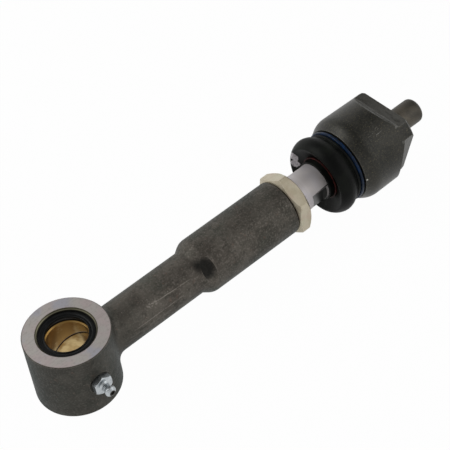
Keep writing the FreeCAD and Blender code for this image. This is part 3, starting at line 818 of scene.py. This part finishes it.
# Moulded nitrile rubber: near black with a dull bloom and fine dust, and a daub of white marking paint on
# the boot, thin in places. The notch is left out of the daub, and a soft painted highlight lies low on the
# roll
rubber = {
    "shader": {"Roughness": 0.46, "IOR": 1.50, "Specular IOR Level": 0.07},
    "colours": {"base": "#0a0b0a", "bloom": "#131512", "dust": "#2c2d29"},
    "layers": [
        {"colour": "bloom", "size": 9.0, "levels": (0.40, 0.64)},
        {"colour": "dust", "share": 0.20, "size": 0.8, "levels": (0.60, 0.74)},
    ],
    "paint": "#dad5da",
    "thinPaint": "#aca7ac",
    "thinning": {"size": 0.9, "levels": (0.35, 0.62)},
    "upperDaub": {"centre": (186.4, 19.2, 5.9), "half": (4.0, 2.3, 4.8), "grain": 2.2, "ragged": 0.7,
                  "soft": 0.10},
    "lowerDaub": {"centre": (186.7, 19.2, 0.6), "half": (4.0, 3.0, 2.9), "grain": 1.8, "ragged": 0.6,
                  "soft": 0.10},
    "notch": {"centre": (185.6, 21.3, 3.6), "half": (1.8, 1.2, 1.2), "grain": 1.2, "ragged": 0.5,
              "soft": 0.15},
    # painted highlight: a soft light patch low on the roll
    "lowHighlight": {"centre": (186.4, -5.0, -13.6), "half": (3.0, 3.0, 6.0), "grain": 1.6, "ragged": 0.9,
              "soft": 0.6},
    "lowHighlightColour": "#5d5f5c",
    "lowHighlightShare": 0.35,
    "skin": {"size": 0.9, "detail": 3.0, "depth": 0.02},
}
bootRubber, tree, shader, place, lines = newFinish("moulded nitrile rubber", rubber)
colour = layered(tree, place, lines, rubber)
upperDaub, lowerDaub, notch, lowHighlight = [spotAt(tree, place, rubber[name])
                                      for name in ("upperDaub", "lowerDaub", "notch", "lowHighlight")]
daub = addNode(tree, "ShaderNodeMath", {0: upperDaub, 1: lowerDaub}, operation="MAXIMUM").outputs[0]
daub = addNode(tree, "ShaderNodeMath", {0: daub, 1: notch}, operation="SUBTRACT", use_clamp=True).outputs[0]
paint = tint(tree, patches(tree, place, rubber["thinning"]), rubber["thinPaint"], rubber["paint"])
colour = tint(tree, daub, colour, paint)
# the painted highlight low on the roll
colour = tint(tree, product(tree, [lowHighlight, rubber["lowHighlightShare"]]), colour, rubber["lowHighlightColour"])
tree.links.new(colour, shader.inputs["Base Color"])
skin = addNode(tree, "ShaderNodeTexNoise", {"Vector": place, "Scale": perMm(rubber["skin"]["size"]),
                                            "Detail": rubber["skin"]["detail"]}).outputs["Fac"]
tree.links.new(relief(tree, skin, rubber["skin"]["depth"]), shader.inputs["Normal"])

# Lips of the seals: the same rubber, oily, so blacker and a little glossier
lipRubber = {
    "shader": {"Roughness": 0.40, "IOR": 1.50, "Specular IOR Level": 0.12},
    "colours": {"base": "#070808", "bloom": "#0e0f0f"},
    "layers": [{"colour": "bloom", "size": 4.0, "levels": (0.40, 0.65)}],
    "grains": [{"size": 0.7, "detail": 3.0, "depth": 0.015}],
}
sealRubber = wholeFinish("oiled nitrile lip", lipRubber)


def latheRing(name, plan, axis, finish, flip=1):
    # spins a closed outline of (along, radius, corner round) in mm about the axis; flip -1 mirrors it
    made = bmesh.new()
    corners = []
    for along, radius, corner in plan["outline"]:
        along, radius = flip * along * mm, radius * mm
        spot = (along, radius, 0) if axis == rodAxis else (radius, 0, along)
        corners.append((made.verts.new(spot), corner))
    for index, (vert, corner) in enumerate(corners):
        made.edges.new((vert, corners[(index + 1) % len(corners)][0]))
    for vert, corner in corners:
        if corner > 0:
            bmesh.ops.bevel(made, geom=[vert], offset=corner * mm, offset_type="OFFSET", affect="VERTICES",
                            segments=plan["cornerSteps"], profile=0.5, material=-1)
    bmesh.ops.spin(made, geom=made.verts[:] + made.edges[:], cent=(0, 0, 0), axis=axis,
                   angle=2 * math.pi, steps=plan["steps"], use_merge=True)
    bmesh.ops.remove_doubles(made, verts=made.verts[:], dist=1e-6)
    bmesh.ops.recalc_face_normals(made, faces=made.faces[:])
    mesh = bpy.data.meshes.new(name)
    made.to_mesh(mesh)
    made.free()
    for face in mesh.polygons:
        face.use_smooth = True
    mesh.set_sharp_from_angle(angle=math.radians(plan["sharpAngle"]))
    mesh.materials.append(finish)
    piece = bpy.data.objects.new(name, mesh)
    bpy.context.scene.collection.objects.link(piece)
    return piece


# Boot: a cuff under the clamp ring, one fat bulge, and a dished front that ends in a collar on the rod
bootPlan = {
    "outline": [
        (204.15, 20.9, 0.0), (204.15, 22.5, 0.35), (203.65, 22.5, 0.2), (203.6, 21.47, 0.3),
        (201.45, 21.47, 0.3), (201.4, 22.5, 0.3), (199.95, 22.5, 0.5), (199.3, 21.4, 0.5),
        (195.74, 25.28, 3.7), (188.94, 25.28, 3.05), (185.15, 22.1, 1.1), (186.63, 19.6, 0.9),
        (189.55, 14.7, 0.6), (189.55, 13.03, 0.2), (185.35, 13.03, 0.3), (185.02, 12.7, 0.15),
        (185.02, 12.07, 0.0), (191.0, 12.07, 0.2), (191.6, 15.15, 0.6), (187.55, 21.5, 0.5),
        (189.67, 23.3, 2.3), (194.85, 23.3, 2.8), (197.65, 20.3, 0.3), (200.5, 20.9, 0.0),
    ],
    "cornerSteps": 6,
    "steps": 128,
    "sharpAngle": 38,
}
boot = latheRing("rubberBoot", bootPlan, rodAxis, bootRubber)
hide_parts("boot")
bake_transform(boot)

# Lip seals: a pressed-in rim, a groove behind it and a rounded lip that wipes the pin
sealPlan = {
    "outline": [
        (16.05, 13.3, 0.0), (16.05, 15.98, 0.0), (20.62, 15.98, 0.35), (20.62, 13.9, 0.8),
        (20.1, 13.6, 0.3), (20.5, 13.1, 0.4), (20.5, 12.2, 0.6), (19.0, 12.25, 0.5), (17.6, 13.2, 0.4),
    ],
    "cornerSteps": 6,
    "steps": 128,
    "sharpAngle": 38,
}
upper = latheRing("upperLipSeal", sealPlan, eyeAxis, sealRubber)
lower = latheRing("lowerLipSeal", sealPlan, eyeAxis, sealRubber, flip=-1)
for piece, node in ((upper, "upper_seal"), (lower, "lower_seal")):
    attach(piece, "forging")
    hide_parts(node)
print("boot and seals made")
